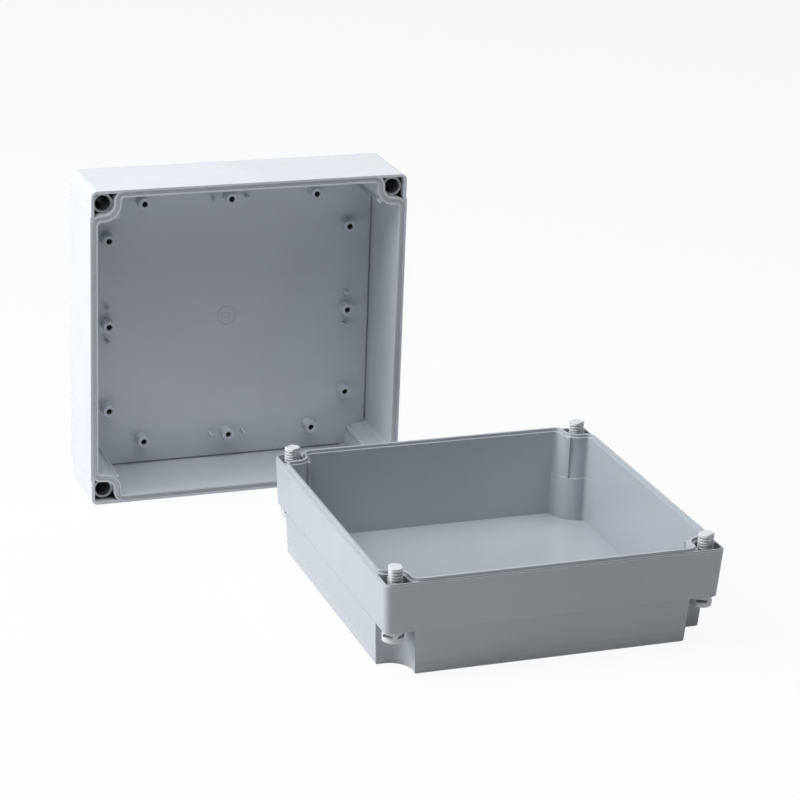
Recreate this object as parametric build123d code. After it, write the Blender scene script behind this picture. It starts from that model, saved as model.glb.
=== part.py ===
from build123d import *
import os
from math import radians, tan

# Square plastic enclosure in two moulded shells. The deep base stands on one of its walls
# with its mouth to the front, and the lid lies upside down before it, mouth up.
# Each lid corner holds a captive screw that fits a tube in a corner of the base.
# Sizes are in millimetres and degrees.

# Both shells
side = 280.0
corner_radius = 5.5
screw_inset = 12.1
column_radius = 15.0
junction_radius = 3.0

# Base shell
base_depth = 74.0
base_floor = 4.0
base_draft = 0.5
back_edge_chamfer = 1.2
corner_zone = 22.0
corner_set_back = 0.9
corner_wall = 2.6
corner_floor = 10.0

# Rim of the base, from the outer face inwards: lip, seal channel and ridge
lip_width = 2.0
channel_width = 3.0
ridge_width = 1.6
channel_depth = 4.2
pocket_ridge = 1.9

# Screw tubes in the base corners
tube_drop = 7.0
tube_overlap = 0.1
bore_radius = 6.7
wall_hole_radius = 3.25

# Diagonal ribs on the corner columns of both shells
rib_width = 3.0
rib_root = 3.0
base_rib_height = 3.2
base_rib_drop = 2.0
lid_rib_length = 36.5

# Fixing bosses and pins on the floor of the base
boss_inset = 30.8
boss_pitch = 77.8
boss_radius = 5.4
boss_flats = 16
boss_height = 11.0
boss_hole_radius = 2.6
boss_hole_depth = 12.0
pin_width = 2.4
pin_height = 10.0
pin_offset = 15.2

# Grooves in the floor of the base, along the foot of its walls
groove_width = 1.4
groove_depth = 1.2
groove_end_gap = 2.0

# Seal
seal_clearance = 0.1
seal_drop = 0.8

# Lid shell, measured from its outer face up to the ledge that meets the base
lid_depth = 77.7
lid_floor = 3.0
lid_draft = 3.1
lid_inner_draft = 1.6
skirt_height = 40.5
skirt_step = 0.8
lid_edge_chamfer = 1.2
notch_size = 23.3
notch_wall = 2.8
screw_plate = 4.2

# Rim of the lid, from the outer face inwards: low flat, ledge, tongue and inner ledge
low_flat_width = 1.0
low_flat_drop = 1.1
tongue_width = 2.3
tongue_height = 2.4
tongue_clearance = 0.2
inner_ledge_width = 1.7

# Captive screws
screw_reach = 10.0
thread_radius = 6.5
thread_length = 20.0
thread_flat = 4.7
shank_radius = 4.6
shank_clearance = 0.8
head_radius = 8.5
head_flats = 24
head_height = 8.4
head_gap = 0.3
window_width = 8.0
window_height = 4.2
window_rise = 2.2
drive_slot_width = 2.0
drive_slot_length = 12.0
drive_slot_depth = 1.4

# How far each screw has been turned, and where its flats lie from its windows
screw_turns = {"front_left": 38, "front_right": -22, "back_left": -22, "back_right": -22}
flat_turn = 140

# How the two shells lie beside each other
lid_shift = 128.3
lid_gap = 114.5

half_side = side / 2
screw_place = half_side - screw_inset
column_edge = screw_place - column_radius
quarter_turns = (0, 90, 180, 270)


def cornered_square(half, edge, radius):
    """Square outline with a rounded column cut out of each corner."""
    outline = Rectangle(2 * half, 2 * half)
    column = RectangleRounded(2 * (half - edge), 2 * (half - edge), radius)
    for turn in quarter_turns:
        outline -= Rot(0, 0, turn) * Pos(half, half) * column
    return outline


def room_outline(half, edge, radius):
    """Outline of a room between corner columns that flow into the walls."""
    outline = cornered_square(half, edge, radius)
    on_walls = [v for v in outline.vertices() if max(abs(v.X), abs(v.Y)) > half - junction_radius / 2]
    return fillet(on_walls, junction_radius)


def drafted(*sections):
    """Solid with straight drafted faces through pairs of a height and an outline."""
    return loft([Pos(0, 0, height) * outline.face() for height, outline in sections], ruled=True)


def band(outline, inner, outer):
    """Ring that follows an outline, between two distances outside it."""
    return offset(outline, outer) - offset(outline, inner)


def slab(outline, low, high):
    """Straight solid of an outline between two heights."""
    return Pos(0, 0, low) * extrude(outline, high - low)


def at_corners(piece):
    """A piece made for the corner at plus X and plus Y, repeated in all four corners."""
    return [Rot(0, 0, turn) * piece for turn in quarter_turns]


def shrink_over(height, draft):
    """How far a drafted face moves in over a height."""
    return height * tan(radians(draft))


def column_rib(reach, low, high):
    """Diagonal rib on the inner side of a corner column, out to its reach from the screw."""
    root = column_radius - rib_root
    rib = Pos(-(reach + root) / 2, 0) * Rectangle(reach - root, rib_width)
    return Pos(screw_place, screw_place) * Rot(0, 0, 45) * slab(rib, low, high)


# Base shell, modelled with its back on the ground plane and its mouth up

rim_width = lip_width + channel_width + ridge_width
base_mouth_half = half_side - rim_width
base_mouth = room_outline(base_mouth_half, column_edge, column_radius)
base_band = ridge_width + channel_width + pocket_ridge
tube_top = base_depth - tube_drop
tube_radius = column_radius - base_band + tube_overlap
channel_floor = base_depth - channel_depth
boss_place = half_side - boss_inset


def base_block():
    """Outer block of the base, with a flush panel on each side wall between set-back corner zones."""
    block = extrude(RectangleRounded(side - 2 * corner_set_back, side, corner_radius), base_depth)
    block = chamfer(block.edges().group_by(Axis.Z)[0], back_edge_chamfer)
    panel = extrude(Rectangle(side, side - 2 * corner_zone), base_depth)
    panel = chamfer(panel.edges().group_by(Axis.Z)[0].filter_by(Axis.Y), back_edge_chamfer)
    return block + panel


def base_cavity():
    """Room inside the base, a little narrower at the floor."""
    shrink = shrink_over(base_depth - base_floor, base_draft)
    edge = column_edge - shrink
    floor_outline = room_outline(base_mouth_half - shrink, edge, column_radius + shrink)
    return drafted((base_floor, floor_outline), (base_depth, base_mouth))


def corner_pockets():
    """Open corners outside the rim's curved band, where the screw tubes stand."""
    inside = side - 2 * corner_wall
    inside_radius = corner_radius - corner_wall
    outline = RectangleRounded(inside - 2 * corner_set_back, inside, inside_radius)
    block = slab(outline, corner_floor, base_depth)
    return block - slab(offset(base_mouth, base_band), corner_floor, base_depth)


def boss_places():
    """Three bosses along each wall."""
    for turn in quarter_turns:
        for along in (-boss_pitch, 0, boss_pitch):
            yield Rot(0, 0, turn) * Pos(boss_place, along)


def pin_places():
    """A locating pin at either side of each middle boss."""
    for turn in quarter_turns:
        for along in (-pin_offset, pin_offset):
            yield Rot(0, 0, turn) * Pos(boss_place, along)


def wall_foot_grooves():
    """Fine groove in the floor along the foot of each wall, between the columns."""
    foot = base_mouth_half - shrink_over(base_depth - base_floor, base_draft)
    length = 2 * (column_edge - rib_width - groove_end_gap)
    groove = Pos(foot - groove_width / 2, 0) * Rectangle(groove_width, length)
    cut = slab(groove, base_floor - groove_depth, base_floor)
    return [Rot(0, 0, turn) * cut for turn in quarter_turns]


def make_base():
    shell = base_block() - base_cavity() - corner_pockets()
    shell += at_corners(column_rib(column_radius + base_rib_height, base_floor, base_depth - base_rib_drop))
    shell -= slab(band(base_mouth, ridge_width, ridge_width + channel_width), channel_floor, base_depth)

    tube = Pos(screw_place, screw_place) * slab(Circle(tube_radius), corner_floor, tube_top)
    bore = Pos(screw_place, screw_place) * slab(Circle(bore_radius), corner_floor, tube_top)
    wall_hole = Pos(screw_place, screw_place) * slab(Circle(wall_hole_radius), 0, corner_floor)
    shell += at_corners(tube)
    shell -= at_corners(bore) + at_corners(wall_hole)

    pin = slab(Rectangle(pin_width, pin_width), base_floor, base_floor + pin_height)
    boss_top = base_floor + boss_height
    boss = slab(RegularPolygon(boss_radius, boss_flats), base_floor, boss_top)
    hole = slab(Circle(boss_hole_radius), boss_top - boss_hole_depth, boss_top)
    shell += [place * boss for place in boss_places()]
    shell += [place * pin for place in pin_places()]
    shell -= [place * hole for place in boss_places()]
    shell -= wall_foot_grooves()
    return shell


def make_seal():
    """Foamed seal in the rim channel, with a flat top below the rim."""
    inner = ridge_width + seal_clearance
    outer = ridge_width + channel_width - seal_clearance
    return slab(band(base_mouth, inner, outer), channel_floor, base_depth - seal_drop)


# Lid shell, modelled upside down with its outer face on the ground plane

tongue_outside = lip_width + tongue_clearance
lid_rim_width = tongue_outside + tongue_width + inner_ledge_width
lid_mouth_half = half_side - lid_rim_width
lid_column_radius = column_radius - tongue_clearance
lid_column_edge = screw_place - lid_column_radius
lid_mouth = room_outline(lid_mouth_half, lid_column_edge, lid_column_radius)
skirt_foot = lid_depth - skirt_height
skirt_half = half_side - shrink_over(skirt_height, lid_draft)
body_half = skirt_half - skirt_step
column_foot_radius = screw_place - (body_half - notch_size) + notch_wall
plate_top = skirt_foot + screw_plate


def notched_square(half):
    """Outline of the lid's lower body, with a round notch about each screw."""
    edge = half - notch_size
    return cornered_square(half, edge, screw_place - edge)


def lid_block():
    """Outer form of the lid: a drafted skirt over a lower body with notched corners."""
    mouth = RectangleRounded(side, side, corner_radius)
    foot = RectangleRounded(2 * skirt_half, 2 * skirt_half, corner_radius)
    skirt = drafted((skirt_foot, foot), (lid_depth, mouth))
    face_half = body_half - shrink_over(skirt_foot, lid_draft)
    body = drafted(
        (0, notched_square(face_half - lid_edge_chamfer)),
        (lid_edge_chamfer, notched_square(face_half)),
        (skirt_foot, notched_square(body_half)),
    )
    return skirt + body


def lid_cavity():
    """Room inside the lid, where the columns step out to a wider foot below their ribs."""
    step = lid_depth - lid_rib_length
    shrink = shrink_over(lid_rib_length, lid_inner_draft)
    step_half = lid_mouth_half - shrink
    radius = lid_column_radius + shrink
    upper_foot = room_outline(step_half, screw_place - radius, radius)
    upper = drafted((step, upper_foot), (lid_depth, lid_mouth))

    radius = column_foot_radius
    lower_mouth = room_outline(step_half, screw_place - radius, radius)
    floor_half = step_half - shrink_over(step - lid_floor, lid_inner_draft)
    radius += step_half - floor_half
    floor_outline = room_outline(floor_half, screw_place - radius, radius)
    return upper + drafted((lid_floor, floor_outline), (step, lower_mouth))


def lid_pockets():
    """Deep corner pockets round the screws, down to the plate that holds them."""
    inside = half_side - tongue_outside
    foot = inside - shrink_over(lid_depth - plate_top, lid_draft)
    radius = corner_radius - tongue_outside
    block = drafted(
        (plate_top, RectangleRounded(2 * foot, 2 * foot, radius)),
        (lid_depth, RectangleRounded(2 * inside, 2 * inside, radius)),
    )
    wall = inner_ledge_width + tongue_width + pocket_ridge + tongue_clearance
    return block - slab(offset(lid_mouth, wall), plate_top, lid_depth)


def make_lid():
    shell = lid_block() - lid_cavity() - lid_pockets()

    tongue_ring = band(lid_mouth, inner_ledge_width, inner_ledge_width + tongue_width)
    shell += slab(tongue_ring, lid_depth, lid_depth + tongue_height)

    ledge_side = side - 2 * low_flat_width
    low_flat = Rectangle(2 * side, 2 * side) - RectangleRounded(ledge_side, ledge_side, corner_radius)
    shell -= slab(low_flat, lid_depth - low_flat_drop, lid_depth)

    hole_radius = shank_radius + shank_clearance
    hole = Pos(screw_place, screw_place) * slab(Circle(hole_radius), skirt_foot, plate_top)
    shell -= at_corners(hole)
    shell += at_corners(column_rib(column_foot_radius, lid_depth - lid_rib_length, lid_depth))
    return shell


# Captive screws, modelled on their own axis at the heights they have in the lid

def screw_head(top):
    """Drum-shaped head, with windows for a sealing wire on four sides and a driver slot below."""
    low = top - head_height
    window_low = low + window_rise
    window = slab(Rectangle(3 * head_radius, window_width), window_low, window_low + window_height)
    slot = slab(Rectangle(drive_slot_length, drive_slot_width), low, low + drive_slot_depth)
    drum = slab(RegularPolygon(head_radius, head_flats), low, top)
    return drum - window - Rot(0, 0, 90) * window - slot


def make_screw():
    """Screw with a thin shank that leaves it loose in the lid, and a thread with two flats."""
    tip = lid_depth + screw_reach
    thread_foot = tip - thread_length
    head_top = skirt_foot - head_gap
    shank = slab(Circle(shank_radius), head_top, thread_foot)
    thread = slab(Circle(thread_radius), thread_foot, tip)
    between_flats = slab(Rectangle(2 * thread_flat, 2 * thread_radius), thread_foot, tip)
    return screw_head(head_top) + shank + Rot(0, 0, flat_turn) * (thread & between_flats)


# Rest layout, with the origin below the middle of the whole

lid_back = base_depth + lid_gap
total_depth = lid_back + side
stand_base = Pos(-lid_shift / 2, total_depth / 2, half_side) * Rot(90, 0, 0)
lay_lid = Pos(lid_shift / 2, half_side - total_depth / 2, 0)

screw_corners = {
    "front_left": (-screw_place, -screw_place),
    "front_right": (screw_place, -screw_place),
    "back_left": (-screw_place, screw_place),
    "back_right": (screw_place, screw_place),
}

os.makedirs("parts", exist_ok=True)
export_step(stand_base * make_base(), "parts/base.step")
export_step(stand_base * make_seal(), "parts/rim_seal.step")
export_step(lay_lid * make_lid(), "parts/lid.step")

screw = make_screw()
for corner, (x, y) in screw_corners.items():
    place = lay_lid * Pos(x, y) * Rot(0, 0, screw_turns[corner])
    export_step(place * screw, f"parts/captive_screw_{corner}.step")
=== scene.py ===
from math import cos, pi, radians, sin

import bmesh
import bpy
from mathutils import Matrix, Vector


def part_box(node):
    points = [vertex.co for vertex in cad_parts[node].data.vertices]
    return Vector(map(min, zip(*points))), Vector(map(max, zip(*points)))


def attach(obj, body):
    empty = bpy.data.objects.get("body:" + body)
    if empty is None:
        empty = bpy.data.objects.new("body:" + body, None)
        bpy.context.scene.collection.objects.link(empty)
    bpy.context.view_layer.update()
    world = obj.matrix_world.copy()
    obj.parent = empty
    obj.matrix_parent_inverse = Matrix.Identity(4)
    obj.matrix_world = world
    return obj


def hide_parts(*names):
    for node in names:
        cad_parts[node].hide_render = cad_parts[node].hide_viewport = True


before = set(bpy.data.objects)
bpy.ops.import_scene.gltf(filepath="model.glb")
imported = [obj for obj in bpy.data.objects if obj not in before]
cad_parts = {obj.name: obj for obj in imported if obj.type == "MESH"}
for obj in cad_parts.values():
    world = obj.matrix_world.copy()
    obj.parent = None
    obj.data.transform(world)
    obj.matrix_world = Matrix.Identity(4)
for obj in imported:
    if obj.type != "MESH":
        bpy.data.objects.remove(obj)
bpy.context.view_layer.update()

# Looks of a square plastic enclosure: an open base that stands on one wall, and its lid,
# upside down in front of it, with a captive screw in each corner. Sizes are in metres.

scene = bpy.context.scene

# Camera, as the photograph was taken
CAMERA_PLACE = Vector((-0.7079, -1.9544, 0.8858))
CAMERA_YAW = radians(20.35)
CAMERA_DOWN = radians(19.83)
CAMERA_ROLL = radians(2.22)
CAMERA_LENS = 121.45

# Colours, as shares of red, green and blue light
BASE_COLOUR = (0.555, 0.592, 0.638)
# The lid's colour is darker than the base's, partly as painted shade for the dimmer light that fell
# on the lid.
LID_COLOUR = (0.398, 0.432, 0.470)
SCREW_COLOUR = (0.60, 0.625, 0.65)
SEAL_COLOUR = (0.50, 0.53, 0.57)
PAPER_DARK = (0.66, 0.67, 0.68)
PAPER_LIGHT = (0.69, 0.70, 0.71)
WHITE = (1.0, 1.0, 1.0)

# Noises of the materials: scale, detail and roughness
FLOW_NOISE = (14.0, 4.0, 0.55)
GLOSS_NOISE = (90.0, 5.0, 0.6)
SWELL_NOISE = (55.0, 2.0, 0.4)
GRAIN_NOISE = (2600.0, 2.0, 0.5)
PORE_NOISE = (1400.0, 3.0, 0.6)
PAPER_NOISE = (30.0, 2.0, 0.5)

# Noise values between which a colour changes
FLOW_LOW, FLOW_HIGH = 0.32, 0.68
FINE_LOW, FINE_HIGH = 0.3, 0.7

# Moulded skin
MOTTLING = 0.03
GLOSS_SPREAD = 0.03
SWELL_STRENGTH = 0.15
SWELL_HEIGHT = 0.0004
GRAIN_HEIGHT = 0.00006
EDGE_SAMPLES = 6
LID_ROOM_HALF = 0.1355
LID_ROOM_POLISH = 0.28

# Foamed seal
SEAL_ROUGHNESS = 0.7
PORE_STRENGTH = 0.5
PORE_DEPTH = 0.0002
PORE_DARK, PORE_LIGHT = 0.85, 1.1

# Painted shade of deep recesses: the openness where it is full and where it ends
RECESS_FULL = 0.08
RECESS_END = 0.40
RECESS_SHADE = 0.12
RECESS_SAMPLES = 8

# Captive screws: thread, flats and tip, then the windows of the head
THREAD_RADIUS = 0.0065
THREAD_PITCH = 0.0024
THREAD_DEPTH = 0.0015
THREAD_LENGTH = 0.020
THREAD_CREST = 0.36
THREAD_ROOT = 0.24
THREAD_RUN_IN = 0.0002
COLLAR_HEIGHT = 0.0012
FLAT_REACH = 0.0047
FLAT_TURN = radians(140)
TIP_RADIUS = 0.0059
SHANK_RADIUS = 0.0046
HEAD_RADIUS = 0.0085
HEAD_HEIGHT = 0.0084
HEAD_FOOT = -0.0010
HEAD_EDGE = 0.0006
WINDOW_HALF = 0.0045
WINDOW_RISE = 0.0031
WINDOW_SIDE = 0.0016
WINDOW_ARCH = 0.0014
ARCH_STEPS = 12
SLOT_HALF = 0.0010
SLOT_LENGTH = 0.0120
SLOT_DEPTH = 0.0014
SCREW_TURNS = {"front_left": 38, "front_right": -22, "back_left": -22, "back_right": -22}
COLUMNS = 72
ROWS = 160

# Bosses of the base
HALF_SIDE = 0.14
BASE_FLOOR = 0.004
BOSS_PLACE = 0.1092
BOSS_PITCH = 0.0778
BOSS_TOP = 0.015
BOSS_RADIUS = 0.0054
BOSS_HOLE = 0.0026
SLEEVE = 0.0001
SLEEVE_EDGE = 0.0003
RING_COLUMNS = 48
CUP_COLUMNS = 16

# Profiles of the moulded marks, as pairs of radius and height
GATE_RING = ((0.0087, 0.0), (0.0085, 0.0002), (0.0082, 0.0003), (0.0079, 0.0002), (0.0077, 0.0))
GATE_RIM = ((0.0043, 0.0), (0.0041, 0.0002), (0.0037, 0.0), (0.0037, -0.0002), (0.0043, -0.0002))
GATE_DOT = (
    (0.0001, -0.0002), (0.0024, -0.0002), (0.0022, 0.0004), (0.0014, 0.0008), (0.0001, 0.0009),
)
CUP = ((0.0010, -0.0002), (0.0010, 0.0001), (0.0005, 0.0001), (0.0005, -0.0002))
CUP_PLACES = ((-0.120, 0.0189), (0.0193, 0.0226), (0.1186, 0.0035))

# Surroundings, with the place, the size across and the power of each lamp
FLOOR_SIZE = 12.0
FLOOR_CELLS = 8
FLOOR_ROUGHNESS = 0.9
FLOOR_WHITE = 0.92
WORLD_LIGHT = 0.03
LAMP_AIM = Vector((0.0, 0.0, 0.1))
LAMPS = {
    "key_high_left": ((-1.8, 0.5, 2.2), 1.6, 43.5),
    "left_low": ((-2.8, 0.4, 0.7), 1.6, 50.0),
    "over_left": ((-0.7, -0.12, 1.3), 0.8, 6.5),
    "over_right": ((0.5, -0.12, 1.4), 0.8, 6.5),
    "top_front": ((-0.3, -1.3, 2.8), 2.0, 15.0),
}


# Nodes. The owner of a node is a material or the world.

def add(owner, kind, **inputs):
    """Adds a node and sets the inputs that are named."""
    node = owner.node_tree.nodes.new(kind)
    for key, value in inputs.items():
        node.inputs[key.replace("_", " ")].default_value = value
    return node


def join(owner, source, target):
    owner.node_tree.links.new(source, target)


def operate(owner, kind, operation, first, second=None):
    """Math or vector math on one or two values, each a socket or a constant."""
    node = add(owner, kind)
    node.operation = operation
    for value, socket in zip((first, second), node.inputs):
        if isinstance(value, bpy.types.NodeSocket):
            join(owner, value, socket)
        elif value is not None:
            socket.default_value = value
    return node.outputs[0]


def spread(owner, share, low, high):
    """Maps a share from 0 to 1 onto a range."""
    node = add(owner, "ShaderNodeMapRange", To_Min=low, To_Max=high)
    join(owner, share, node.inputs["Value"])
    return node.outputs["Result"]


def straight_ray(owner):
    """1 for camera and glossy rays, 0 for the rest."""
    rays = add(owner, "ShaderNodeLightPath").outputs
    return operate(owner, "ShaderNodeMath", "MAXIMUM", rays["Is Camera Ray"], rays["Is Glossy Ray"])


def coordinates(material):
    """Object coordinates, which are the frame's own metres on every piece."""
    return add(material, "ShaderNodeTexCoord").outputs["Object"]


def noise(material, place, settings):
    scale, detail, roughness = settings
    node = add(material, "ShaderNodeTexNoise", Scale=scale, Detail=detail, Roughness=roughness)
    join(material, place, node.inputs["Vector"])
    return node.outputs["Fac"]


def ramp(material, value, *stops):
    """Colour ramp through two pairs of position and colour."""
    node = add(material, "ShaderNodeValToRGB")
    join(material, value, node.inputs["Fac"])
    for element, (position, colour) in zip(node.color_ramp.elements, stops):
        element.position = position
        element.color = (*colour, 1.0)
    return node.outputs["Color"]


def shade(colour, factor):
    return tuple(channel * factor for channel in colour)


def bump(material, height, strength, distance, below=None):
    """Bump from a height, over another normal where one is given."""
    node = add(material, "ShaderNodeBump", Strength=strength, Distance=distance)
    join(material, height, node.inputs["Height"])
    if below:
        join(material, below, node.inputs["Normal"])
    return node.outputs["Normal"]


def painted_recess_shade(material, colour, reach):
    """Paints shade into a colour where the surface lies deep in a hole or a groove."""
    node = add(material, "ShaderNodeAmbientOcclusion", Distance=reach)
    node.samples = RECESS_SAMPLES
    light = ramp(
        material, node.outputs["AO"], (RECESS_FULL, shade(WHITE, RECESS_SHADE)), (RECESS_END, WHITE)
    )
    return operate(material, "ShaderNodeVectorMath", "MULTIPLY", colour, light)


def inner_share(material, place, middle, half):
    """1 within a square room about the middle, 0 outside it."""
    away = operate(material, "ShaderNodeVectorMath", "SUBTRACT", place, middle)
    away = operate(material, "ShaderNodeVectorMath", "ABSOLUTE", away)
    split = add(material, "ShaderNodeSeparateXYZ")
    join(material, away, split.inputs["Vector"])
    x, y = split.outputs["X"], split.outputs["Y"]
    widest = operate(material, "ShaderNodeMath", "MAXIMUM", x, y)
    return operate(material, "ShaderNodeMath", "LESS_THAN", widest, half)


# Materials

def new_material(name):
    material = bpy.data.materials.new(name)
    material.use_nodes = True
    return material, material.node_tree.nodes["Principled BSDF"]


def moulded_plastic(
    name, colour, roughness, grain, edge_radius, mottling=MOTTLING, reach=0.01, room=None
):
    """Moulded plastic with soft edges, a fine eroded grain, slow flow variation and painted shade
    in deep recesses.

    A room, given as its middle, half its width and a drop in roughness, is glossier inside.
    """
    material, shader = new_material(name)
    place = coordinates(material)
    flow = noise(material, place, FLOW_NOISE)
    dark, light = shade(colour, 1 - mottling), shade(colour, 1 + mottling)
    tint = ramp(material, flow, (FLOW_LOW, dark), (FLOW_HIGH, light))
    # Painted shade: the colour darkens in deep holes and grooves, where the surface is little open
    # to its surroundings.
    join(material, painted_recess_shade(material, tint, reach), shader.inputs["Base Color"])

    gloss = noise(material, place, GLOSS_NOISE)
    dullness = spread(material, gloss, roughness - GLOSS_SPREAD, roughness + GLOSS_SPREAD)
    if room:
        middle, half, drop = room
        inside = inner_share(material, place, middle, half)
        polish = operate(material, "ShaderNodeMath", "MULTIPLY", inside, drop)
        dullness = operate(material, "ShaderNodeMath", "SUBTRACT", dullness, polish)
    join(material, dullness, shader.inputs["Roughness"])

    edge = add(material, "ShaderNodeBevel", Radius=edge_radius)
    edge.samples = EDGE_SAMPLES
    swell = noise(material, place, SWELL_NOISE)
    swell = bump(material, swell, SWELL_STRENGTH, SWELL_HEIGHT, edge.outputs["Normal"])
    skin = bump(material, noise(material, place, GRAIN_NOISE), grain, GRAIN_HEIGHT, swell)
    join(material, skin, shader.inputs["Normal"])
    return material


def foam(name, colour):
    """Foamed seal with a closed, slightly pitted skin."""
    material, shader = new_material(name)
    pores = noise(material, coordinates(material), PORE_NOISE)
    dark, light = shade(colour, PORE_DARK), shade(colour, PORE_LIGHT)
    tint = ramp(material, pores, (FINE_LOW, dark), (FINE_HIGH, light))
    join(material, tint, shader.inputs["Base Color"])
    join(material, bump(material, pores, PORE_STRENGTH, PORE_DEPTH), shader.inputs["Normal"])
    shader.inputs["Roughness"].default_value = SEAL_ROUGHNESS
    return material


lid_low, lid_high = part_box("lid")
base_plastic = moulded_plastic(
    "base_plastic", BASE_COLOUR, roughness=0.24, grain=0.12, edge_radius=0.0006, reach=0.018
)
lid_plastic = moulded_plastic(
    "lid_plastic", LID_COLOUR, roughness=0.40, grain=0.12, edge_radius=0.0009,
    room=((lid_low + lid_high) / 2, LID_ROOM_HALF, LID_ROOM_POLISH),
)
screw_plastic = moulded_plastic(
    "screw_plastic", SCREW_COLOUR, roughness=0.4, grain=0.1, edge_radius=0.0002,
    mottling=0.02, reach=0.003,
)
seal_foam = foam("seal_foam", SEAL_COLOUR)

for node, material in (("base", base_plastic), ("lid", lid_plastic), ("rim_seal", seal_foam)):
    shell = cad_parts[node]
    shell.data.materials.clear()
    shell.data.materials.append(material)


# Meshes

def object_from(mesh, name, material):
    """Turns a mesh in the making into an object with a material."""
    bmesh.ops.recalc_face_normals(mesh, faces=mesh.faces)
    data = bpy.data.meshes.new(name)
    mesh.to_mesh(data)
    mesh.free()
    data.materials.append(material)
    piece = bpy.data.objects.new(name, data)
    scene.collection.objects.link(piece)
    return piece


def lathe(rows):
    """Closed mesh of stacked rings, where each row is a height and a radius for every angle."""
    mesh = bmesh.new()
    rings = []
    for height, radius_at in rows:
        ring = []
        for step in range(COLUMNS):
            angle = 2 * pi * step / COLUMNS
            radius = radius_at(angle)
            ring.append(mesh.verts.new((radius * cos(angle), radius * sin(angle), height)))
        rings.append(ring)
    for lower, upper in zip(rings, rings[1:]):
        for step in range(COLUMNS):
            after = (step + 1) % COLUMNS
            mesh.faces.new((lower[step], lower[after], upper[after], upper[step]))
    mesh.faces.new(rings[0])
    mesh.faces.new(rings[-1])
    return mesh


def prism(outline, low, high):
    """Closed mesh of an outline in X and Z, drawn out along Y."""
    mesh = bmesh.new()
    near = [mesh.verts.new((x, low, z)) for x, z in outline]
    far = [mesh.verts.new((x, high, z)) for x, z in outline]
    mesh.faces.new(near)
    mesh.faces.new(far)
    for step in range(len(outline)):
        after = (step + 1) % len(outline)
        mesh.faces.new((near[step], near[after], far[after], far[step]))
    return mesh


def revolve(profile, place, mesh, columns=RING_COLUMNS):
    """Adds a closed ring to a mesh, from a closed profile of radius and height pairs."""
    loops = []
    for step in range(columns):
        x, y = cos(2 * pi * step / columns), sin(2 * pi * step / columns)
        loops.append([mesh.verts.new(place @ Vector((r * x, r * y, h))) for r, h in profile])
    for here, after in zip(loops, loops[1:] + loops[:1]):
        for step in range(len(profile)):
            following = (step + 1) % len(profile)
            mesh.faces.new((here[step], after[step], after[following], here[following]))


def combine(piece, tool, operation):
    """Applies a boolean with another piece, which is used up."""
    modifier = piece.modifiers.new(operation.lower(), "BOOLEAN")
    modifier.operation = operation
    modifier.solver = "EXACT"
    modifier.object = tool
    depsgraph = bpy.context.evaluated_depsgraph_get()
    piece.data = bpy.data.meshes.new_from_object(piece.evaluated_get(depsgraph))
    piece.modifiers.clear()
    bpy.data.objects.remove(tool)


# Captive screws, built on their own axis with the foot of the solid's head at height 0

def smoothstep(value):
    value = min(max(value, 0.0), 1.0)
    return value * value * (3 - 2 * value)


def thread_height(turn):
    """Height of the thread, from 0 at its root to 1 at its crest, along one turn."""
    turn = turn % 1.0
    flank = (1 - THREAD_CREST - THREAD_ROOT) / 2
    if turn < THREAD_CREST:
        return 1.0
    if turn < THREAD_CREST + flank:
        return 1 - smoothstep((turn - THREAD_CREST) / flank)
    if turn < THREAD_CREST + flank + THREAD_ROOT:
        return 0.0
    return smoothstep((turn - THREAD_CREST - flank - THREAD_ROOT) / flank)


def steady(radius):
    """The same radius for any angle."""
    return lambda angle: radius


def threaded(height, tip):
    """Radius of the threaded end at a height, for any angle."""
    def radius_at(angle):
        turn = height / THREAD_PITCH - angle / (2 * pi)
        collar = smoothstep((height - tip + COLLAR_HEIGHT) / THREAD_PITCH + 0.5)
        radius = THREAD_RADIUS - THREAD_DEPTH * (1 - thread_height(turn)) * (1 - collar)
        shank_end = SHANK_RADIUS + height - (tip - THREAD_LENGTH)
        radius = min(radius, TIP_RADIUS + tip - height, shank_end)
        across = abs(cos(angle - FLAT_TURN))
        if across > FLAT_REACH / THREAD_RADIUS:
            radius = min(radius, FLAT_REACH / across)
        return radius
    return radius_at


def screw_shaft(tip):
    """Shank and threaded end, from inside the head to the tip's height."""
    shank = steady(SHANK_RADIUS)
    thread_foot = tip - THREAD_LENGTH
    rows = [(HEAD_HEIGHT / 2 + WINDOW_RISE, shank), (thread_foot - THREAD_RUN_IN, shank)]
    for step in range(ROWS + 1):
        height = thread_foot + THREAD_LENGTH * step / ROWS
        rows.append((height, threaded(height, tip)))
    return object_from(lathe(rows), "screw_shaft", screw_plastic)


def screw_head():
    """Head with two arched windows that cross, and a driver's slot in its foot."""
    narrow, full = steady(HEAD_RADIUS - HEAD_EDGE), steady(HEAD_RADIUS)
    rows = [
        (HEAD_FOOT, narrow),
        (HEAD_FOOT + HEAD_EDGE, full),
        (HEAD_HEIGHT - HEAD_EDGE, full),
        (HEAD_HEIGHT, narrow),
    ]
    head = object_from(lathe(rows), "screw_head", screw_plastic)
    arch = [(-WINDOW_HALF, WINDOW_RISE), (WINDOW_HALF, WINDOW_RISE)]
    for step in range(ARCH_STEPS + 1):
        angle = pi * step / ARCH_STEPS
        crown = WINDOW_RISE + WINDOW_SIDE + WINDOW_ARCH * sin(angle)
        arch.append((WINDOW_HALF * cos(angle), crown))
    for turn in (0, pi / 2):
        through = prism(arch, -2 * HEAD_RADIUS, 2 * HEAD_RADIUS)
        window = object_from(through, "window", screw_plastic)
        window.data.transform(Matrix.Rotation(turn, 4, "Z"))
        combine(head, window, "DIFFERENCE")
    low, high = HEAD_FOOT - SLOT_DEPTH, HEAD_FOOT + SLOT_DEPTH
    end = SLOT_LENGTH / 2
    outline = [(-end, low), (end, low), (end, high), (-end, high)]
    slot = object_from(prism(outline, -SLOT_HALF, SLOT_HALF), "slot", screw_plastic)
    combine(head, slot, "DIFFERENCE")
    return head


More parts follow.
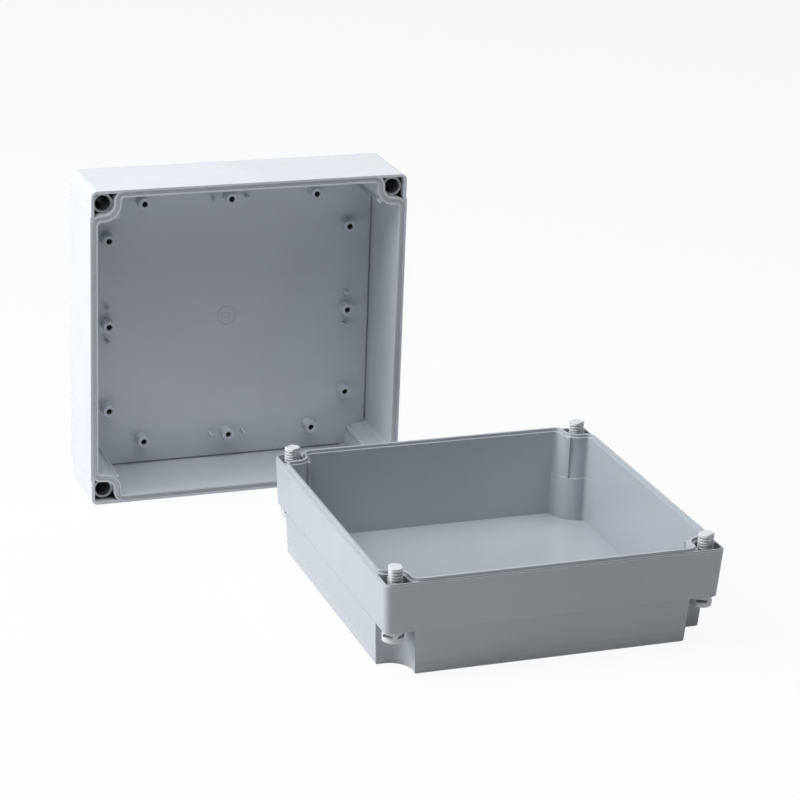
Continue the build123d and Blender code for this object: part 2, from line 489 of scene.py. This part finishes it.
def make_screws():
    for corner, turn in SCREW_TURNS.items():
        node = "captive_screw_" + corner
        low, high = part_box(node)
        screw = screw_head()
        combine(screw, screw_shaft(high.z - low.z), "UNION")
        screw.name = "screw_detail_" + corner
        axis = (low + high) / 2
        place = Matrix.Translation((axis.x, axis.y, low.z))
        screw.data.transform(place @ Matrix.Rotation(radians(turn), 4, "Z"))
        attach(screw, "screw_" + corner)
        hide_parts(node)


# Bosses and marks of the base, built on its own axis with its back at height 0

def on_base():
    """Place of the base's own axis, which points out of its mouth."""
    low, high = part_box("base")
    middle = (low + high) / 2
    return Matrix.Translation((middle.x, high.y, middle.z)) @ Matrix.Rotation(pi / 2, 4, "X")


def keep_on_base(mesh, name):
    piece = object_from(mesh, name, base_plastic)
    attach(piece, "base")


def make_sleeves():
    """Smooth round skins over the bosses, with the bore of each left open."""
    outer, inner, top = BOSS_RADIUS + SLEEVE, BOSS_HOLE - SLEEVE, BOSS_TOP + SLEEVE
    shoulder = SLEEVE_EDGE / 3
    profile = [
        (outer, BASE_FLOOR),
        (outer, top - SLEEVE_EDGE),
        (outer - shoulder, top - shoulder),
        (outer - SLEEVE_EDGE, top),
        (inner + SLEEVE_EDGE, top),
        (inner, top - SLEEVE_EDGE),
        (inner, BASE_FLOOR),
    ]
    mesh = bmesh.new()
    for quarter in range(4):
        row = on_base() @ Matrix.Rotation(quarter * pi / 2, 4, "Z")
        for along in (-BOSS_PITCH, 0, BOSS_PITCH):
            revolve(profile, row @ Matrix.Translation((BOSS_PLACE, along, 0)), mesh)
    keep_on_base(mesh, "boss_skins")


def make_marks():
    """Gate mark in the middle of the floor, and three small cups on the upper side."""
    mesh = bmesh.new()
    floor = on_base() @ Matrix.Translation((0, 0, BASE_FLOOR))
    for profile in (GATE_RING, GATE_DOT, GATE_RIM):
        revolve(profile, floor, mesh)
    for along, height in CUP_PLACES:
        place = on_base() @ Matrix.Translation((along, HALF_SIDE, height))
        revolve(CUP, place @ Matrix.Rotation(-pi / 2, 4, "X"), mesh, CUP_COLUMNS)
    keep_on_base(mesh, "mould_marks")


make_screws()
make_sleeves()
make_marks()


# Surroundings

def make_floor():
    """Wide pale floor that is white to the camera and keeps a soft shadow."""
    mesh = bmesh.new()
    bmesh.ops.create_grid(mesh, x_segments=FLOOR_CELLS, y_segments=FLOOR_CELLS, size=FLOOR_SIZE)
    material, shader = new_material("floor_paper")
    paper = noise(material, coordinates(material), PAPER_NOISE)
    tint = ramp(material, paper, (FINE_LOW, PAPER_DARK), (FINE_HIGH, PAPER_LIGHT))
    join(material, tint, shader.inputs["Base Color"])
    shader.inputs["Roughness"].default_value = FLOOR_ROUGHNESS
    white = add(material, "ShaderNodeEmission", Color=(*WHITE, 1.0))
    straight = straight_ray(material)
    share = operate(material, "ShaderNodeMath", "MULTIPLY", straight, FLOOR_WHITE)
    mix = add(material, "ShaderNodeMixShader")
    join(material, share, mix.inputs["Fac"])
    join(material, shader.outputs["BSDF"], mix.inputs[1])
    join(material, white.outputs["Emission"], mix.inputs[2])
    output = material.node_tree.nodes["Material Output"]
    join(material, mix.outputs["Shader"], output.inputs["Surface"])
    object_from(mesh, "floor", material)


def make_world():
    """Even light from all round, seen as white."""
    world = bpy.data.worlds.new("studio")
    world.use_nodes = True
    scene.world = world
    background = world.node_tree.nodes["Background"]
    background.inputs["Color"].default_value = (*WHITE, 1.0)
    strength = spread(world, straight_ray(world), WORLD_LIGHT, 1.0)
    join(world, strength, background.inputs["Strength"])


def make_lamps():
    for name, (place, size, power) in LAMPS.items():
        light = bpy.data.lights.new(name, "AREA")
        light.shape = "DISK"
        light.size = size
        light.energy = power
        lamp = bpy.data.objects.new(name, light)
        lamp.location = place
        lamp.rotation_euler = (LAMP_AIM - Vector(place)).to_track_quat("-Z", "Y").to_euler()
        scene.collection.objects.link(lamp)


def make_camera():
    across = cos(CAMERA_DOWN)
    forward = Vector((sin(CAMERA_YAW) * across, cos(CAMERA_YAW) * across, -sin(CAMERA_DOWN)))
    level = Vector((cos(CAMERA_YAW), -sin(CAMERA_YAW), 0.0))
    upright = level.cross(forward)
    right = level * cos(CAMERA_ROLL) + upright * sin(CAMERA_ROLL)
    up = upright * cos(CAMERA_ROLL) - level * sin(CAMERA_ROLL)
    data = bpy.data.cameras.new("camera")
    data.lens = CAMERA_LENS
    camera = bpy.data.objects.new("camera", data)
    turn = Matrix((right, up, -forward)).transposed().to_4x4()
    camera.matrix_world = Matrix.Translation(CAMERA_PLACE) @ turn
    scene.collection.objects.link(camera)
    scene.camera = camera


make_floor()
make_world()
make_camera()
make_lamps()
scene.view_settings.view_transform = "Standard"
